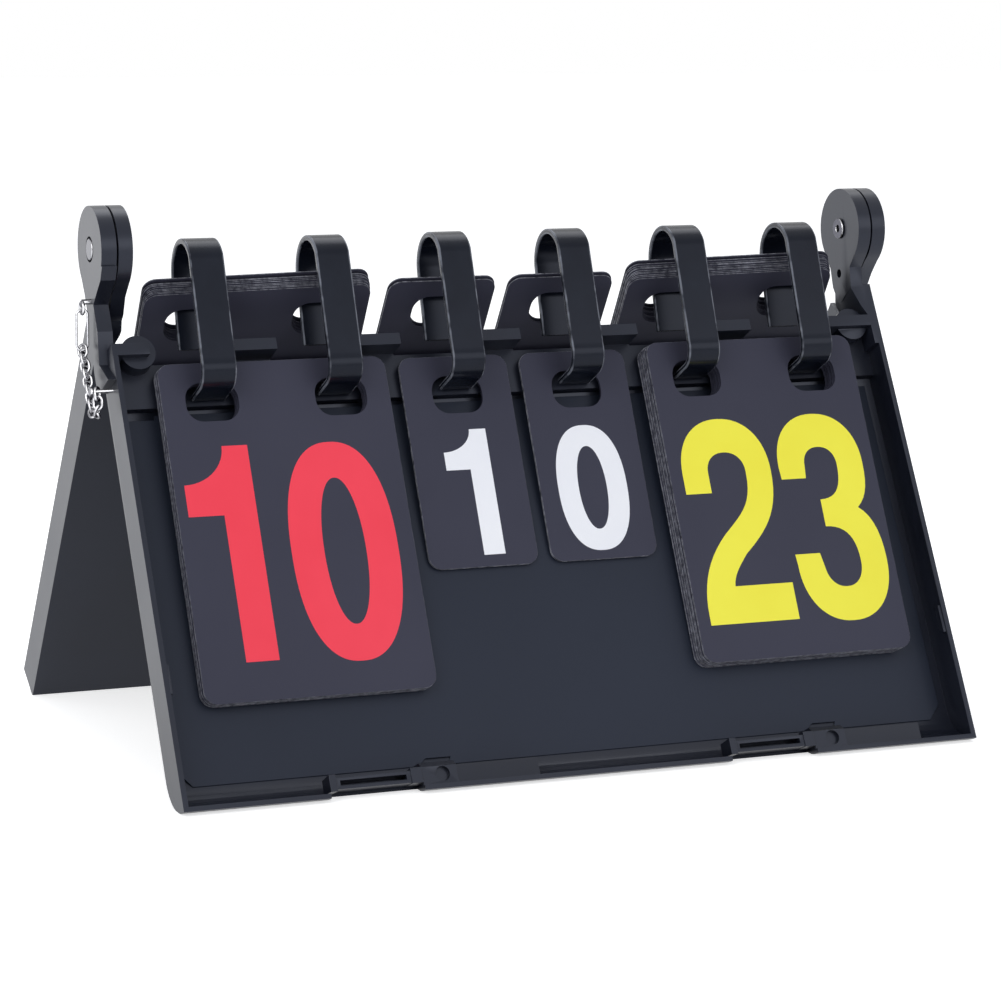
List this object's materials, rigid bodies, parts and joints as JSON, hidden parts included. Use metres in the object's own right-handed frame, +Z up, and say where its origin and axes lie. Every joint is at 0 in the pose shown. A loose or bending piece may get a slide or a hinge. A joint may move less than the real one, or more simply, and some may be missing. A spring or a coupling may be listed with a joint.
{
  "type": "tabletop flip scoreboard",
  "caption": "Free-standing folding flip scoreboard: two hinged plastic trays, open strap rings and stacks of numbered cards that turn over the top.",
  "frame": {"origin": "on the table, below the middle of the whole outline; the hinge axis runs along X at y = -6.35 mm, z = 229.5 mm", "axes": "+X to the viewer's right along the hinge, +Y away from the viewer, +Z up"},
  "size_m": [0.4009, 0.2632, 0.249],
  "materials": {
    "case_plastic": "satin, fine grain",
    "ring_plastic": "satin with light worn edges",
    "card": "matte printed sheet with pale cut edges",
    "steel": "polished steel"
  },
  "bodies": {
    "front_case": {"front_tray": "case_plastic", "front_floor_panel": "case_plastic", "latch_left": "case_plastic", "latch_right": "case_plastic", "hinge_rivet_left": "steel", "hinge_rivet_right": "steel", "card_ring_1": "ring_plastic", "card_ring_2": "ring_plastic", "card_ring_3": "ring_plastic", "card_ring_4": "ring_plastic", "card_ring_5": "ring_plastic", "card_ring_6": "ring_plastic", "ring_screws": "steel", "chain_eyelet": "steel", "chain_clasp": "steel", "tether_chain": "steel", "chain_pin": "steel"},
    "rear_case": {"rear_tray": "case_plastic", "rear_floor_panel": "case_plastic", "rear_latch_left": "case_plastic", "rear_latch_right": "case_plastic"},
    "front_stack_left": {"front_stack_left": "card"},
    "front_card_left": {"front_card_left": "card"},
    "rear_stack_left": {"rear_stack_left": "card"},
    "rear_card_left": {"rear_card_left": "card"},
    "front_stack_small_left": {"front_stack_small_left": "card"},
    "front_card_small_left": {"front_card_small_left": "card"},
    "rear_stack_small_left": {"rear_stack_small_left": "card"},
    "rear_card_small_left": {"rear_card_small_left": "card"},
    "front_stack_small_right": {"front_stack_small_right": "card"},
    "front_card_small_right": {"front_card_small_right": "card"},
    "rear_stack_small_right": {"rear_stack_small_right": "card"},
    "rear_card_small_right": {"rear_card_small_right": "card"},
    "front_stack_right": {"front_stack_right": "card"},
    "front_card_right": {"front_card_right": "card"},
    "rear_stack_right": {"rear_stack_right": "card"},
    "rear_card_right": {"rear_card_right": "card"}
  },
  "joints": [
    {"name": "fold", "type": "hinge", "parent": "front_case", "child": "rear_case", "pos_m": [0.00375, -0.00635, 0.22954], "axis": [1, 0, 0], "range_deg": [0, 180]},
    {"name": "front_stack_left_lift", "type": "hinge", "parent": "front_case", "child": "front_stack_left", "pos_m": [-0.11475, -0.02552, 0.17494], "axis": [-1, 0, 0], "range_deg": [0, 35]},
    {"name": "front_card_left_flip", "type": "hinge", "parent": "front_stack_left", "child": "front_card_left", "pos_m": [-0.11475, -0.02854, 0.17927], "axis": [-1, 0, 0], "range_deg": [0, 30]},
    {"name": "rear_stack_left_follow", "type": "hinge", "parent": "front_case", "child": "rear_stack_left", "pos_m": [-0.11475, -0.01666, 0.21099], "axis": [1, 0, 0], "range_deg": [0, 196.2]},
    {"name": "rear_card_left_flip", "type": "hinge", "parent": "rear_stack_left", "child": "rear_card_left", "pos_m": [-0.11475, -0.01666, 0.21099], "axis": [1, 0, 0], "range_deg": [0, 25]},
    {"name": "front_stack_small_left_lift", "type": "hinge", "parent": "front_case", "child": "front_stack_small_left", "pos_m": [-0.02575, -0.02465, 0.17445], "axis": [-1, 0, 0], "range_deg": [0, 35]},
    {"name": "front_card_small_left_flip", "type": "hinge", "parent": "front_stack_small_left", "child": "front_card_small_left", "pos_m": [-0.02575, -0.02475, 0.17714], "axis": [-1, 0, 0], "range_deg": [0, 30]},
    {"name": "rear_stack_small_left_follow", "type": "hinge", "parent": "front_case", "child": "rear_stack_small_left", "pos_m": [-0.02575, -0.01741, 0.21249], "axis": [1, 0, 0], "range_deg": [0, 196.2]},
    {"name": "rear_card_small_left_flip", "type": "hinge", "parent": "rear_stack_small_left", "child": "rear_card_small_left", "pos_m": [-0.02575, -0.01741, 0.21249], "axis": [1, 0, 0], "range_deg": [0, 25]},
    {"name": "front_stack_small_right_lift", "type": "hinge", "parent": "front_case", "child": "front_stack_small_right", "pos_m": [0.03425, -0.02465, 0.17445], "axis": [-1, 0, 0], "range_deg": [0, 35]},
    {"name": "front_card_small_right_flip", "type": "hinge", "parent": "front_stack_small_right", "child": "front_card_small_right", "pos_m": [0.03425, -0.02475, 0.17714], "axis": [-1, 0, 0], "range_deg": [0, 30]},
    {"name": "rear_stack_small_right_follow", "type": "hinge", "parent": "front_case", "child": "rear_stack_small_right", "pos_m": [0.03425, -0.01741, 0.21249], "axis": [1, 0, 0], "range_deg": [0, 196.2]},
    {"name": "rear_card_small_right_flip", "type": "hinge", "parent": "rear_stack_small_right", "child": "rear_card_small_right", "pos_m": [0.03425, -0.01741, 0.21249], "axis": [1, 0, 0], "range_deg": [0, 25]},
    {"name": "front_stack_right_lift", "type": "hinge", "parent": "front_case", "child": "front_stack_right", "pos_m": [0.12425, -0.02552, 0.17494], "axis": [-1, 0, 0], "range_deg": [0, 35]},
    {"name": "front_card_right_flip", "type": "hinge", "parent": "front_stack_right", "child": "front_card_right", "pos_m": [0.12425, -0.03033, 0.18027], "axis": [-1, 0, 0], "range_deg": [0, 30]},
    {"name": "rear_stack_right_follow", "type": "hinge", "parent": "front_case", "child": "rear_stack_right", "pos_m": [0.12425, -0.01666, 0.21174], "axis": [1, 0, 0], "range_deg": [0, 196.2]},
    {"name": "rear_card_right_flip", "type": "hinge", "parent": "rear_stack_right", "child": "rear_card_right", "pos_m": [0.12425, -0.01666, 0.21174], "axis": [1, 0, 0], "range_deg": [0, 25]}
  ],
  "couplings": [
    {"joint": "rear_stack_left_follow", "follows": "fold", "ratio": 1.09},
    {"joint": "rear_stack_small_left_follow", "follows": "fold", "ratio": 1.09},
    {"joint": "rear_stack_small_right_follow", "follows": "fold", "ratio": 1.09},
    {"joint": "rear_stack_right_follow", "follows": "fold", "ratio": 1.09}
  ]
}
